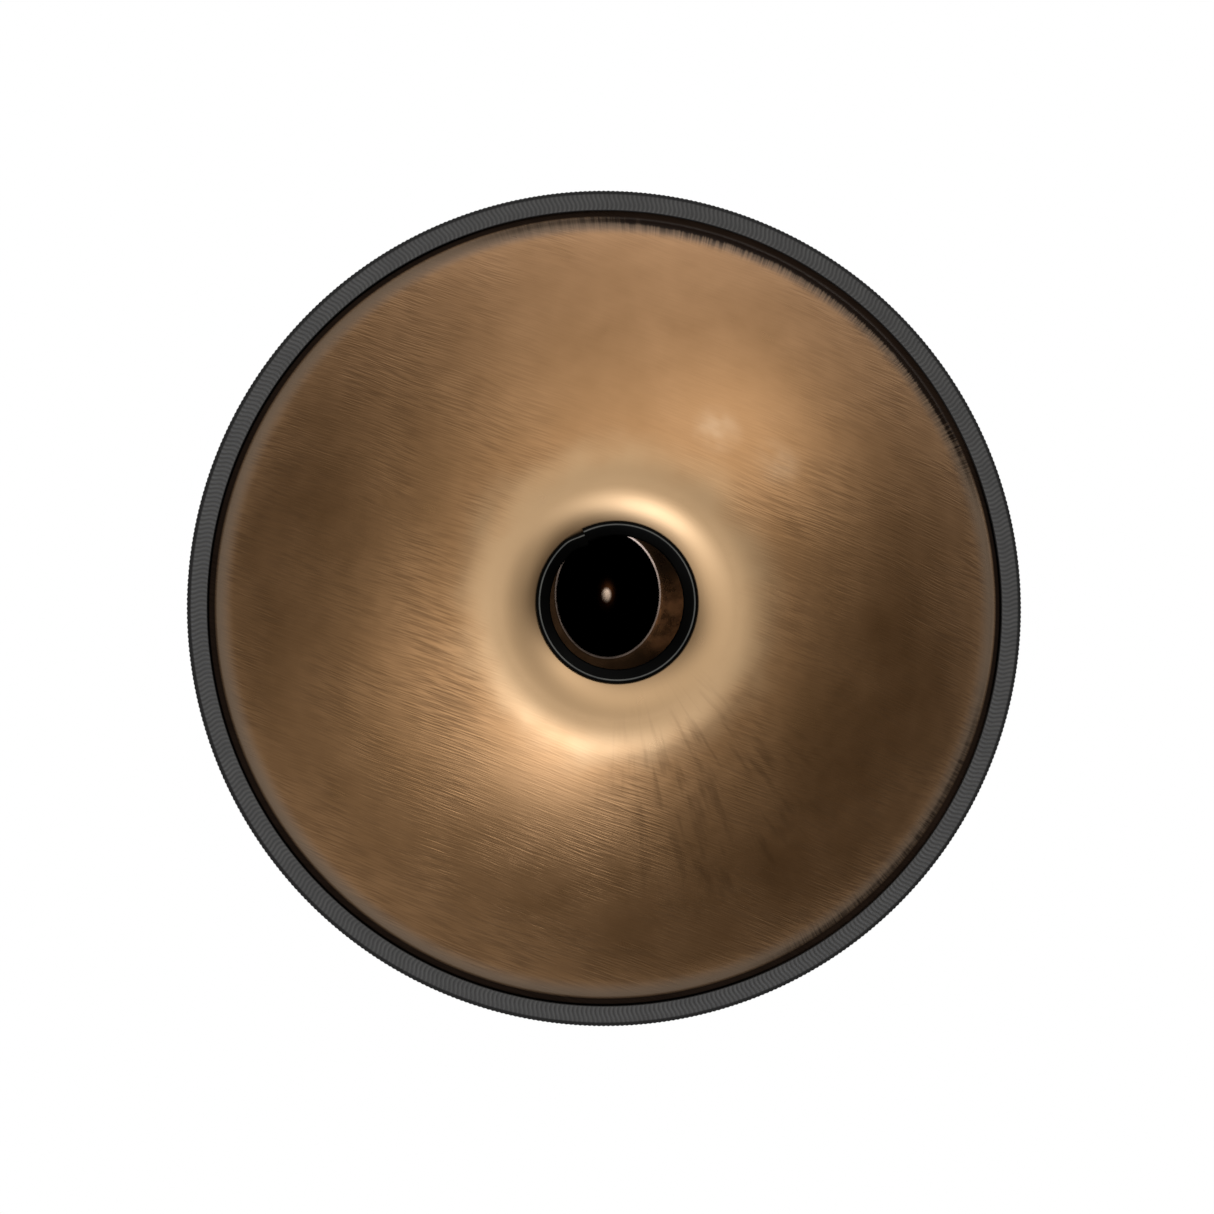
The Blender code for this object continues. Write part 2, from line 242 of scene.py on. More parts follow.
def lower_outline():
    """Outer face of the lower shell, from the port's lip over the crest to the flange's edge."""
    slope = shoulder_start()
    neck = arc_run((CREST_INNER, 0), NECK_ROLL, 0, -NECK_SLOPE, NECK_SEGMENTS)
    cone_end = neck[-1]
    lip = (LIP_RADIUS, cone_end[1] + (cone_end[0] - LIP_RADIUS) * math.tan(NECK_SLOPE))
    points = [lip] + neck[::-1] + [(CREST_INNER, 0), (CREST_OUTER, 0)]
    points += arc_run(points[-1], CREST_ROLL, 0, CREST_SLOPE, CREST_SEGMENTS)
    points += arc_run(points[-1], MAIN_ARC, CREST_SLOPE, slope, MAIN_SEGMENTS)
    return points + shoulder_and_flange(points[-1], slope)


def dome_end():
    """Radius and slope where the upper shell's dome meets its shoulder arc."""
    slope = shoulder_start()
    shoulder_end = FLANGE_INNER - FILLET * math.sin(SHOULDER_SLOPE)
    return shoulder_end - SHOULDER_ARC * (math.sin(SHOULDER_SLOPE) - math.sin(slope)), slope


def dome_fall(radius):
    """How far the upper shell's plain dome lies below its top, inside its shoulder."""
    end, slope = dome_end()
    dome_radius = end / math.sin(slope)
    return dome_radius - np.sqrt(dome_radius**2 - radius**2)


def upper_outline():
    """Outer face of the upper shell before hammering, from near its centre to the flange's edge,
    with the top of the dome at height 0. It is drawn upside down and turned over."""
    end, slope = dome_end()
    radii = np.linspace(0.0, end, DOME_SEGMENTS + 1)[1:]
    points = [(radius, dome_fall(radius)) for radius in radii]
    points += shoulder_and_flange(points[-1], slope)
    return [(float(radius), -float(height)) for radius, height in points]


CROWN_TOP = FLANGE_LOW.z + SHEET - upper_outline()[-1][1]


# ---------------------------------------------------------------- meshes


def grid_object(name, points, wrap, centre=None):
    """A mesh through a grid of points, shaped (rows, columns, 3). The columns run round the axis
    and close when wrap is true. centre, if given, closes the first row to a point."""
    rows, columns = points.shape[:2]
    verts = points.reshape(-1, 3)
    across = np.arange(columns if wrap else columns - 1)
    down = np.arange(rows - 1)[:, None] * columns
    here, after = down + across, down + (across + 1) % columns
    faces = np.stack([here, after, after + columns, here + columns], axis=-1).reshape(-1, 4).tolist()
    if centre is not None:
        faces += [[len(verts), int((i + 1) % columns), int(i)] for i in across]
        verts = np.vstack([verts, centre])
    mesh = bpy.data.meshes.new(name)
    mesh.from_pydata(verts.tolist(), [], faces)
    mesh.update()
    item = bpy.data.objects.new(name, mesh)
    bpy.context.scene.collection.objects.link(item)
    return item


def turn(outline, steps):
    """A grid of points: the outline at each of the steps round the axis."""
    angles = np.arange(steps) * TAU / steps
    outline = np.array(outline)
    radius, height = outline[:, :1], outline[:, 1:]
    x, y = radius * np.cos(angles), radius * np.sin(angles)
    return np.stack([x, y, np.broadcast_to(height, x.shape)], axis=-1)


def shade(item, surface, angle):
    """Adds the material and shades smoothly, with sharp edges from the angle in degrees."""
    item.data.materials.append(surface)
    item.data.shade_smooth()
    item.data.set_sharp_from_angle(angle=math.radians(angle))
    return item


def thicken(item):
    """Gives the shell its sheet. The outer face takes the item's last material."""
    sheet = item.modifiers.new("Sheet", "SOLIDIFY")
    sheet.thickness = SHEET
    sheet.offset = 1
    sheet.use_even_offset = True
    sheet.material_offset = len(item.data.materials) - 1
    return item


def apply_modifiers(item):
    """Turns the item's modifiers into plain mesh."""
    bpy.context.view_layer.update()
    graph = bpy.context.evaluated_depsgraph_get()
    mesh = bpy.data.meshes.new_from_object(item.evaluated_get(graph))
    item.modifiers.clear()
    item.data = mesh
    return item


def place(item, node):
    """The piece rides on the instrument and stands for its CAD node, which is hidden."""
    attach(item, "root")
    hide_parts(node)
    return item


# ---------------------------------------------------------------- hammered shape of the shells


def smooth(value):
    """0 below 0, 1 above 1, and a smooth step between."""
    value = np.clip(value, 0, 1)
    return value * value * (3 - 2 * value)


def soft_ramp(value, softness):
    """Value where it is positive and 0 where it is negative, with the corner between rounded."""
    return (value + np.sqrt(value**2 + softness**2)) / 2


def tone_fields():
    """Centre angle, half length and half width of each tone field, the largest two in front."""
    share = math.pi / FIELD_COUNT
    for index in range(FIELD_COUNT):
        side = -1 if index % 2 == 0 else 1
        angle = -math.pi / 2 + side * share * (1 + 2 * (index // 2))
        rank = index / (FIELD_COUNT - 1)
        length = FIELD_LENGTHS[0] + (FIELD_LENGTHS[1] - FIELD_LENGTHS[0]) * rank
        width = FIELD_WIDTHS[0] + (FIELD_WIDTHS[1] - FIELD_WIDTHS[0]) * rank
        yield angle, length / 2, width / 2


def field_drop(x, y):
    """How far the tone fields and their dimples lie below the plain dome at a point in plan."""
    end, slope = dome_end()
    dome_radius = end / math.sin(slope)
    drop = np.zeros_like(x)
    for angle, half_length, half_width in tone_fields():
        along = x * math.cos(angle) + y * math.sin(angle) - FIELD_CIRCLE
        across = -x * math.sin(angle) + y * math.cos(angle)
        out = np.hypot(along / half_length, across / half_width)
        sag = half_length * half_width / (2 * dome_radius)
        drop += FIELD_FLATTENING * sag * soft_ramp(1 - out**2, FIELD_CREASE)
        drop += DIMPLE_DEPTH * soft_ramp(1 - (out / DIMPLE_SHARE) ** 2, FIELD_CREASE)
    return drop


def centre_drop(radius):
    """How far the flat field round the ding lies below the plain dome."""
    return soft_ramp(dome_fall(CENTRE_FIELD_RADIUS) - dome_fall(radius), CENTRE_FIELD_SOFTNESS)


def ding_rise(x, y):
    """Height of the ding dome above the plain dome: a cap with a crease round its edge."""
    out = np.hypot((x - DING_CENTRE[0]) / DING_HALF_WIDTH, (y - DING_CENTRE[1]) / DING_HALF_LENGTH)
    return DING_RISE * soft_ramp(1 - out**2, DING_CREASE)


def hammered_height(x, y, plain_height):
    """Height of the upper shell's outer face where the plain turned dome has plain_height."""
    radius = np.hypot(x, y)
    fade = 1 - smooth((radius - HAMMERED_RADIUS + HAMMERED_FADE) / HAMMERED_FADE)
    inside = np.minimum(radius, dome_end()[0])
    raised = ding_rise(x, y) - field_drop(x, y) - centre_drop(inside)
    return plain_height + raised * fade


def uneven(x, y):
    """Slow waves of a hand-finished sheet, between about -1 and 1."""
    waves = np.zeros_like(x)
    for angle, length, phase in ((0.4, 0.31, 0.3), (1.7, 0.23, 2.1), (2.6, 0.17, 4.0), (0.9, 0.13, 1.2)):
        waves += np.sin((x * math.cos(angle) + y * math.sin(angle)) * TAU / length + phase)
    return waves / 4


# ---------------------------------------------------------------- shader building


class Graph:
    """Adds nodes to a node tree. A value or a socket can be given for any input."""

    def __init__(self, tree):
        self.tree = tree

    def add(self, kind, inputs=None, output=0, **options):
        node = self.tree.nodes.new(kind)
        for name, value in options.items():
            setattr(node, name, value)
        for key, value in (inputs or {}).items():
            self.feed(node.inputs[key], value)
        return node.outputs[output]

    def feed(self, socket, value):
        if isinstance(value, bpy.types.NodeSocket):
            self.tree.links.new(value, socket)
        else:
            socket.default_value = value

    def math(self, operation, *values):
        return self.add("ShaderNodeMath", dict(enumerate(values)), operation=operation)

    def times(self, first, *others):
        for other in others:
            first = self.math("MULTIPLY", first, other)
        return first

    def plus(self, first, *others):
        for other in others:
            first = self.math("ADD", first, other)
        return first

    def rest(self, share):
        """What is left of 1 after the share."""
        return self.math("SUBTRACT", 1.0, share)

    def vector(self, operation, *values, output=0):
        return self.add("ShaderNodeVectorMath", dict(enumerate(values)), output, operation=operation)

    def step(self, value, low, high, to_low=0.0, to_high=1.0):
        """A smooth step of value from low to high."""
        inputs = {"Value": value, "From Min": low, "From Max": high, "To Min": to_low, "To Max": to_high}
        return self.add("ShaderNodeMapRange", inputs, interpolation_type="SMOOTHSTEP")

    def remap(self, value, low, high, to_low=0.0, to_high=1.0):
        inputs = {"Value": value, "From Min": low, "From Max": high, "To Min": to_low, "To Max": to_high}
        return self.add("ShaderNodeMapRange", inputs, clamp=True)

    def mix(self, share, first, second):
        """A colour between first and second. Sockets 6, 7 and 2 are the node's colour sockets."""
        node = self.tree.nodes.new("ShaderNodeMix")
        node.data_type = "RGBA"
        self.feed(node.inputs[0], share)
        self.feed(node.inputs[6], first)
        self.feed(node.inputs[7], second)
        return node.outputs[2]

    def noise(self, position, detail=2.0, roughness=0.5):
        """Noise about 0.5 whose features are one unit of position wide."""
        inputs = {"Vector": position, "Scale": 1.0, "Detail": detail, "Roughness": roughness}
        return self.add("ShaderNodeTexNoise", inputs)

    def scaled(self, position, x, y, z):
        return self.vector("MULTIPLY", position, (x, y, z))

    def turned(self, position, degrees):
        inputs = {"Vector": position, "Angle": math.radians(degrees)}
        return self.add("ShaderNodeVectorRotate", inputs, rotation_type="Z_AXIS")


def new_material(name):
    """A new material, its graph, its shader and the position in the object's own frame."""
    made = bpy.data.materials.new(name)
    made.use_nodes = True
    graph = Graph(made.node_tree)
    shader = made.node_tree.nodes["Principled BSDF"]
    position = graph.add("ShaderNodeTexCoord", output="Object")
    return made, graph, shader, position


def plan_coordinates(graph, position):
    """Radius from the axis, and the unit direction from the axis, both in plan."""
    flat = graph.vector("MULTIPLY", position, (1, 1, 0))
    radius = graph.vector("LENGTH", flat, output="Value")
    return radius, graph.vector("NORMALIZE", flat)


def polar(graph, radius, direction, around, outwards):
    """Noise coordinates with around features per radian and outwards features per metre."""
    height = graph.add("ShaderNodeCombineXYZ", {"Z": graph.times(radius, outwards)})
    return graph.vector("ADD", graph.scaled(direction, around, around, 0), height)


def patch(graph, position, centre, inner, outer):
    """1 within inner of the centre and 0 beyond outer, smooth between."""
    distance = graph.vector("DISTANCE", position, centre, output="Value")
    return graph.step(distance, inner, outer, 1.0, 0.0)


def sector(graph, direction, degrees, from_cosine, to_cosine):
    """1 in the given direction in plan and 0 away from it, smooth between the two cosines."""
    angle = math.radians(degrees)
    wanted = (math.cos(angle), math.sin(angle), 0)
    cosine = graph.vector("DOT_PRODUCT", direction, wanted, output="Value")
    return graph.step(cosine, from_cosine, to_cosine)


def strokes(graph, position, degrees, length, pitch):
    """Brush strokes along one direction in plan, between 0 and 1."""
    along = graph.turned(position, -degrees)
    return graph.noise(graph.scaled(along, 1 / length, 1 / pitch, 1 / length), 0.0)


def brushed_share(graph, position, unburnished, lower):
    """How strongly the brushing shows: weak where burnished and in two calm patches below, and
    weaker all over above."""
    patchy = graph.noise(graph.scaled(position, 26, 26, 26), 2.0)
    share = graph.times(unburnished, graph.remap(patchy, 0.35, 0.6, 0.35, 1.0))
    if lower:
        calm = patch(graph, position, CALM_CENTRE, 0.06, 0.17)
        share = graph.times(share, graph.rest(graph.times(calm, 0.88)))
        calm = patch(graph, position, HIGHLIGHT_CALM_CENTRE, 0.02, 0.075)
        share = graph.times(share, graph.rest(graph.times(calm, 0.75)))
        return share
    return graph.times(share, 0.55)


def groove_shade_mask(graph, radius, direction):
    """1 in the painted shade of the groove by the flange, a little wider in front and on the right."""
    lopsided = graph.vector("DOT_PRODUCT", direction, (0.7, -0.7, 0), output="Value")
    return graph.step(graph.plus(radius, graph.times(lopsided, 0.0008)), *GROOVE_SHADE_RADII)


def soot_hairs_and_root_shade(graph, radius, direction):
    """A dark band by the groove that is painted shade, with hair-like soot runs up the shell, in three
    places.
    """
    hairs = graph.noise(polar(graph, radius, direction, 210, 35), 1.0)
    hairs = graph.times(graph.remap(hairs, 0.38, 0.64), graph.step(radius, *HAIR_RADII), 0.75)
    # Painted shade: the dark root band next to the groove
    root = graph.step(radius, *ROOT_SHADE_RADII)
    places = graph.plus(
        sector(graph, direction, 126, 0.74, 0.96),
        graph.times(sector(graph, direction, 92, 0.90, 0.99), 0.4),
        graph.times(sector(graph, direction, -140, 0.85, 0.97), 0.5),
    )
    return graph.times(graph.plus(hairs, root), places)


def bronze(name, lower):
    """Bronze-toned steel, brushed by hand in one main direction and burnished round the axis."""
    made, graph, shader, position = new_material(name)
    radius, direction = plan_coordinates(graph, position)

    drift = graph.noise(graph.scaled(position, 9, 9, 9), 1.0)
    drift = graph.times(graph.math("SUBTRACT", drift, 0.5), STROKE_DRIFT)
    bent = graph.vector("ADD", position, graph.add("ShaderNodeCombineXYZ", {"Y": drift}))
    length = STROKE_LENGTH_BELOW if lower else STROKE_LENGTH_ABOVE
    coarse = strokes(graph, bent, BRUSH_ANGLE, length, COARSE_PITCH)
    fine = strokes(graph, bent, BRUSH_ANGLE + 4, 0.6 * length, FINE_PITCH)
    wobble = graph.noise(graph.scaled(position, 32, 32, 32), 2.0)
    wobble = graph.times(graph.math("SUBTRACT", wobble, 0.5), BURNISH_DRIFT)
    unburnished = graph.step(graph.plus(radius, wobble), *BURNISHED_RADII)
    burnish = graph.rest(unburnished)
    brushed = brushed_share(graph, position, unburnished, lower)
    rings = graph.noise(polar(graph, radius, direction, 3, 420), 2.0)

    relief = graph.times(graph.plus(graph.times(coarse, 0.7), graph.times(fine, 0.3)), brushed)
    relief = graph.plus(relief, graph.times(rings, burnish, 0.05))

    mottle = graph.noise(graph.scaled(position, 24, 24, 24), 3.0, 0.55)
    mottled = graph.remap(mottle, 0.3, 0.7)
    colour = graph.mix(mottled, DARK_BRONZE, PALE_BRONZE)
    colour = graph.mix(graph.times(burnish, 0.85), colour, BURNISHED_BRONZE)
    streak = graph.times(graph.remap(coarse, 0.30, 0.66, 1.0, 0.0), brushed)
    colour = graph.mix(graph.times(streak, 0.55), colour, BRUSHED_LOWS)
    groove = groove_shade_mask(graph, radius, direction)
    graph.feed(shader.inputs["Metallic"], 1.0)
    if lower:
        smudges = graph.noise(polar(graph, radius, direction, 24, 34), 2.0)
        smudges = graph.remap(smudges, 0.50, 0.68, 0.0, 0.40)
        smudges = graph.times(smudges, patch(graph, position, SMUDGED_CENTRE, 0.03, 0.10))
        colour = graph.mix(smudges, colour, SMUDGE)
        ragged = graph.remap(graph.noise(graph.scaled(position, 55, 55, 55), 2.0), 0.30, 0.60)
        # Painted highlights: bright bronze spots that stand for a soft reflection on the shell
        for centre, share in PAINTED_HIGHLIGHT_SPOTS:
            painted_highlight = graph.times(patch(graph, position, centre, 0.004, 0.021), share, ragged)
            colour = graph.mix(painted_highlight, colour, PAINTED_HIGHLIGHT_BRONZE)
        # Painted reflection: a pale, duller taupe band near the rim that stands for light surroundings
        # reflected in the steep side
        reflection_band = graph.times(graph.step(radius, *REFLECTION_BAND_RADII), graph.rest(groove))
        colour = graph.mix(graph.times(reflection_band, 0.8), colour, PAINTED_REFLECTION_TAUPE)
        graph.feed(shader.inputs["Metallic"], graph.rest(graph.times(reflection_band, 0.75)))
    # Painted shade in the groove by the flange, on both shells
    colour = graph.mix(groove, colour, PAINTED_GROOVE_SHADE)
    colour = graph.mix(graph.step(radius, *FLANGE_SHADE_RADII), colour, FLANGE_SHADE)
    if lower:
        # Soot hairs, and painted shade in the band next to the groove
        colour = graph.mix(soot_hairs_and_root_shade(graph, radius, direction), colour, HAIR_SOOT_AND_SHADE)

    roughness = graph.plus(graph.remap(mottle, 0.3, 0.7, 0.27, 0.33), graph.times(streak, 0.10))
    roughness = graph.plus(roughness, graph.times(groove, 0.35))
    bump = graph.add("ShaderNodeBump", {"Height": relief, "Distance": BRUSH_RELIEF})
    graph.feed(shader.inputs["Base Color"], colour)
    graph.feed(shader.inputs["Roughness"], roughness)
    graph.feed(shader.inputs["Normal"], bump)
    return made


def oval_distance(graph, position, half_width, half_length):
    """Distance from the ding's centre in plan, where 1 is an oval of the given half axes."""
    shifted = graph.vector("SUBTRACT", position, (*DING_CENTRE, 0))
    scaled = graph.scaled(shifted, 1 / half_width, 1 / half_length, 0)
    return graph.vector("LENGTH", scaled, output="Value")


def sooty_inside_with_painted_light():
    """Heat-blackened inside of the playing side, with painted light: the ding dome inside its crease is
    painted shade, a thin line along the crease is a painted highlight, the dome's middle holds a painted
    reflection with a halo round it, and rust-brown patches lie on one side."""
    made, graph, shader, position = new_material("sooty_inside_with_painted_light_look")
    mottle = graph.noise(graph.scaled(position, 95, 95, 95), 3.0, 0.6)
    grain = graph.noise(graph.scaled(position, 800, 800, 800), 2.0)
    crease = oval_distance(graph, position, DING_HALF_WIDTH, DING_HALF_LENGTH)
    outside = graph.step(crease, 1.02, 1.10)
    brown = graph.times(patch(graph, position, RUSTY_CENTRE, 0.012, 0.036), outside)
    brown = graph.times(brown, graph.remap(mottle, 0.35, 0.65, 0.25, 1.0))
    # Painted shade: the ding dome inside its crease is near black
    colour = graph.mix(outside, DING_PAINTED_SHADE, INNER_SOOT)
    colour = graph.mix(brown, colour, RUST_BROWN)
    # Painted highlight: a thin bright line along the crease, brighter towards the rear
    off_line = graph.math("ABSOLUTE", graph.math("SUBTRACT", crease, CREASE_HIGHLIGHT_SHARE))
    line = graph.step(off_line, 0.010, 0.024, 1.0, 0.0)
    rearwards = graph.add("ShaderNodeSeparateXYZ", {"Vector": position}, output="Y")
    line = graph.times(line, graph.remap(rearwards, -0.035, 0.040, 0.20, 0.80))
    colour = graph.mix(line, colour, CREASE_PAINTED_HIGHLIGHT)
    # Painted reflection: a bright spot in the dome's middle with a reddish halo round it
    halo = oval_distance(graph, position, *REFLECTION_HALO_SIZE)
    colour = graph.mix(graph.step(halo, 0.2, 1.0, 0.8, 0.0), colour, PAINTED_SPOT_HALO)
    spot = oval_distance(graph, position, *REFLECTION_SPOT_SIZE)
    colour = graph.mix(graph.step(spot, 0.55, 1.15, 1.0, 0.0), colour, PAINTED_SPOT_REFLECTION)
    graph.feed(shader.inputs["Base Color"], colour)
    graph.feed(shader.inputs["Metallic"], 1.0)
    graph.feed(shader.inputs["Roughness"], graph.remap(mottle, 0.3, 0.7, 0.24, 0.34))
    bump = graph.add("ShaderNodeBump", {"Height": grain, "Distance": 0.000005})
    graph.feed(shader.inputs["Normal"], bump)
    return made


def rib_wave(graph, position, radius):
    """0 on the crests of the rim trim's ribs and 1 in the grooves between them."""
    middle = (RIM_LIP_RADIUS + RIM_OUTER) / 2
    across = graph.math("DIVIDE", graph.math("SUBTRACT", radius, middle), RIM_OUTER - RIM_LIP_RADIUS)
    sway = graph.times(graph.math("SINE", graph.times(across, TAU)), RIB_SWAY / middle)
    x = graph.add("ShaderNodeSeparateXYZ", {"Vector": position}, output="X")
    y = graph.add("ShaderNodeSeparateXYZ", {"Vector": position}, output="Y")
    angle = graph.plus(graph.math("ARCTAN2", y, x), sway)
    wave = graph.math("COSINE", graph.times(angle, RIB_COUNT))
    return graph.remap(wave, -1.0, 1.0)


def trim_pvc():
    """Dark grey PVC with a fine grain, with painted shade along its two edges and in the grooves between
    its ribs.
    """
    made, graph, shader, position = new_material("ribbed_pvc_look")
    radius = plan_coordinates(graph, position)[0]
    grain = graph.noise(graph.scaled(position, 2200, 2200, 2200), 2.0, 0.6)
    cloudy = graph.noise(graph.scaled(position, 60, 60, 60), 3.0)
    colour = graph.mix(graph.remap(cloudy, 0.3, 0.7), DARK_PVC, PALE_PVC)
    colour = graph.mix(graph.times(graph.remap(grain, 0.4, 0.6), 0.3), colour, PVC_GRAIN)
    # Painted shade in the grooves between the ribs
    ribs = graph.times(rib_wave(graph, position, radius), 0.85)
    colour = graph.mix(ribs, colour, PVC_GROOVE_SHADE)
    # Painted shade along the trim's lip and outer edge
    lip = graph.step(radius, *TRIM_LIP_SHADE_RADII, 1.0, 0.0)
    edges = graph.plus(lip, graph.step(radius, *TRIM_EDGE_SHADE_RADII))
    colour = graph.mix(edges, colour, PVC_EDGE_SHADE)
    graph.feed(shader.inputs["Base Color"], colour)
    roughness = graph.plus(graph.remap(grain, 0.3, 0.7, 0.42, 0.60), graph.times(edges, 0.35))
    graph.feed(shader.inputs["Roughness"], roughness)
    bump = graph.add("ShaderNodeBump", {"Height": grain, "Distance": 0.00004})
    graph.feed(shader.inputs["Normal"], bump)
    return made


def black_rubber():
    """Smooth black rubber with a painted highlight: a thin grey line along the crest that faces straight
    down and stands proudest.
    """
    made, graph, shader, position = new_material("black_rubber_look")
    normal = graph.add("ShaderNodeTexCoord", output="Normal")
    downwards = graph.add("ShaderNodeSeparateXYZ", {"Vector": normal}, output="Z")
    # Painted highlight: grey where the trim faces straight down
    crest = graph.step(downwards, -0.996, -0.972, 1.0, 0.0)
    grain = graph.noise(graph.scaled(position, 900, 900, 900), 3.0, 0.6)
    dusty = graph.noise(graph.scaled(position, 70, 70, 70), 3.0)
    dust = graph.remap(dusty, 0.35, 0.7)
    colour = graph.mix(dust, CLEAN_RUBBER, DUSTY_RUBBER)
    highlight_line = graph.mix(dust, HIGHLIGHT_LINE_DARK, HIGHLIGHT_LINE_PALE)
    colour = graph.mix(crest, colour, highlight_line)
    graph.feed(shader.inputs["Base Color"], colour)
    graph.feed(shader.inputs["Roughness"], graph.remap(grain, 0.3, 0.7, 0.30, 0.42))
    graph.feed(shader.inputs["Specular IOR Level"], 0.04)
    bump = graph.add("ShaderNodeBump", {"Height": grain, "Distance": 0.00001})
    graph.feed(shader.inputs["Normal"], bump)
    return made


def cured_adhesive():
    """Dark adhesive with a lumpy, slightly glossy skin."""
    made, graph, shader, position = new_material("cured_adhesive_look")
    lumps = graph.noise(graph.scaled(position, 420, 420, 420), 3.0)
    colour = graph.mix(graph.remap(lumps, 0.3, 0.7), DARK_ADHESIVE, PALE_ADHESIVE)
    graph.feed(shader.inputs["Base Color"], colour)
    graph.feed(shader.inputs["Roughness"], graph.remap(lumps, 0.3, 0.7, 0.35, 0.55))
    bump = graph.add("ShaderNodeBump", {"Height": lumps, "Distance": 0.0002})
    graph.feed(shader.inputs["Normal"], bump)
    return made


def spring_steel():
    """Bare rolled strip with faint lines along it."""
    made, graph, shader, position = new_material("spring_steel_look")
    radius, direction = plan_coordinates(graph, position)
    lines = graph.noise(polar(graph, radius, direction, 6, 3000), 2.0)
    graph.feed(shader.inputs["Base Color"], graph.mix(lines, DARK_STEEL, PALE_STEEL))
    graph.feed(shader.inputs["Metallic"], 1.0)
    graph.feed(shader.inputs["Roughness"], graph.remap(lines, 0.3, 0.7, 0.28, 0.42))
    return made


# ---------------------------------------------------------------- the pieces


def make_bottom_shell(surface):
    """The lower shell, drawn from the flange inwards so that its faces look outwards."""
    points = turn(lower_outline(), LOWER_STEPS)
    x, y = points[..., 0], points[..., 1]
    radius = np.hypot(x, y)
    free = smooth((radius - CREST_OUTER) / UNEVEN_FADE_IN)
    free = free * (1 - smooth((radius - UNEVEN_OUTER) / UNEVEN_FADE_OUT))
    points[..., 2] += UNEVEN_DEPTH * uneven(x, y) * free
    shell = grid_object("bottom_shell_brushed", points[::-1], True)
    shade(shell, surface, 50)
    apply_modifiers(thicken(shell))
    return place(shell, "bottom_shell")


def make_top_shell(surface, inner_surface):
    """The hammered upper shell. The inner surface goes on the face towards the cavity."""
    points = turn(upper_outline(), UPPER_STEPS)
    x, y = points[..., 0], points[..., 1]
    points[..., 2] = hammered_height(x, y, CROWN_TOP + points[..., 2])
    plain_top = np.array([CROWN_TOP])
    peak = hammered_height(np.zeros(1), np.zeros(1), plain_top)[0]
    shell = grid_object("top_shell_hammered", points, True, (0.0, 0.0, peak))
    shell.data.materials.append(inner_surface)
    shade(shell, surface, 50)
    apply_modifiers(thicken(shell))
    return place(shell, "top_shell")


def rounded(start, corner, end, radius, count):
    """Points that round the corner between two straight runs at right angles."""
    back = (Vector(start) - Vector(corner)).normalized() * radius
    ahead = (Vector(end) - Vector(corner)).normalized() * radius
    centre = Vector(corner) + back + ahead
    for i in range(count + 1):
        angle = math.pi / 2 * i / count
        yield tuple(centre - ahead * math.cos(angle) - back * math.sin(angle))


def rim_outline():
    """Closed outline of the rim trim about its middle height, and how strongly each point is
    ribbed: first the ribbed outer face from lip to lip, then the channel inside."""
    outer, lip, top = RIM_OUTER, RIM_LIP_RADIUS, RIM_HALF_HEIGHT
    edge = RIM_LIP_ROUNDING
    upper = [(lip, top - edge), (lip + edge * 0.3, top - edge * 0.3), (lip + edge, top)]
    upper += [(float(r), top) for r in np.linspace(lip + edge, outer - RIM_ROUNDING, 7)[1:-1]]
    upper += list(rounded((lip, top), (outer, top), (outer, -top), RIM_ROUNDING, 5))
    ribbed = upper + [(r, -z) for r, z in upper[::-1]]
    weights = [0.0, 0.4, 1.0] + [1.0] * (len(upper) - 3)
    weights = weights + weights[::-1]
    back, mouth = outer - RIM_COVER, top - RIM_COVER
    hollow = [(lip, -mouth + RIM_MOUTH_LIP), (lip + RIM_COVER, -mouth + RIM_MOUTH_LIP)]
    hollow += [(lip + RIM_COVER, -mouth), (back, -mouth)]
    hollow += [(r, -z) for r, z in hollow[::-1]]
    return np.array(ribbed + hollow), np.array(weights + [0.0] * len(hollow))


def make_rim_trim(surface):
    """The rim trim, cut at its joint, with ribs that sway a little across its width."""
    outline, weights = rim_outline()
    steps = RIB_COUNT * RIB_SEGMENTS
    gap = RIM_JOINT_GAP / RIM_OUTER
    angles = RIM_JOINT_ANGLE + gap / 2 + (TAU - gap) * np.linspace(0, 1, steps + 1)
    radius, height = outline[:, :1], outline[:, 1:]
    middle = (RIM_LIP_RADIUS + RIM_OUTER) / 2
    across = (radius - middle) / (RIM_OUTER - RIM_LIP_RADIUS)
    sway = RIB_SWAY / middle * np.sin(across * TAU)
    wave = 0.5 + 0.5 * np.cos((angles + sway) * RIB_COUNT)
    inward = RIB_DEPTH * weights[:, None] * wave
    on_face = np.abs(outline[:, 1]) > RIM_HALF_HEIGHT - 2 * RIB_DEPTH
    normal_r = np.where(on_face, 0.0, 1.0)[:, None]
    normal_z = np.where(on_face, np.sign(outline[:, 1]), 0.0)[:, None]
    r = radius - inward * normal_r
    z = BOND_MIDDLE + height - inward * normal_z
    points = np.stack([r * np.cos(angles), r * np.sin(angles), np.broadcast_to(z, r.shape)], axis=-1)
    points = np.concatenate([points, points[:1]])
    ring = grid_object("rim_trim_ribbed", points, False)
    close_ends(ring)
    shade(ring, surface, 60)
    return place(ring, "rim_trim")


def close_ends(item):
    """Welds the outline's seam and fills the two cut ends of a ring."""
    shape = bmesh.new()
    shape.from_mesh(item.data)
    bmesh.ops.remove_doubles(shape, verts=shape.verts, dist=0.000005)
    ends = [edge for edge in shape.edges if edge.is_boundary]
    bmesh.ops.holes_fill(shape, edges=ends, sides=0)
    bmesh.ops.recalc_face_normals(shape, faces=shape.faces)
    shape.to_mesh(item.data)
    shape.free()


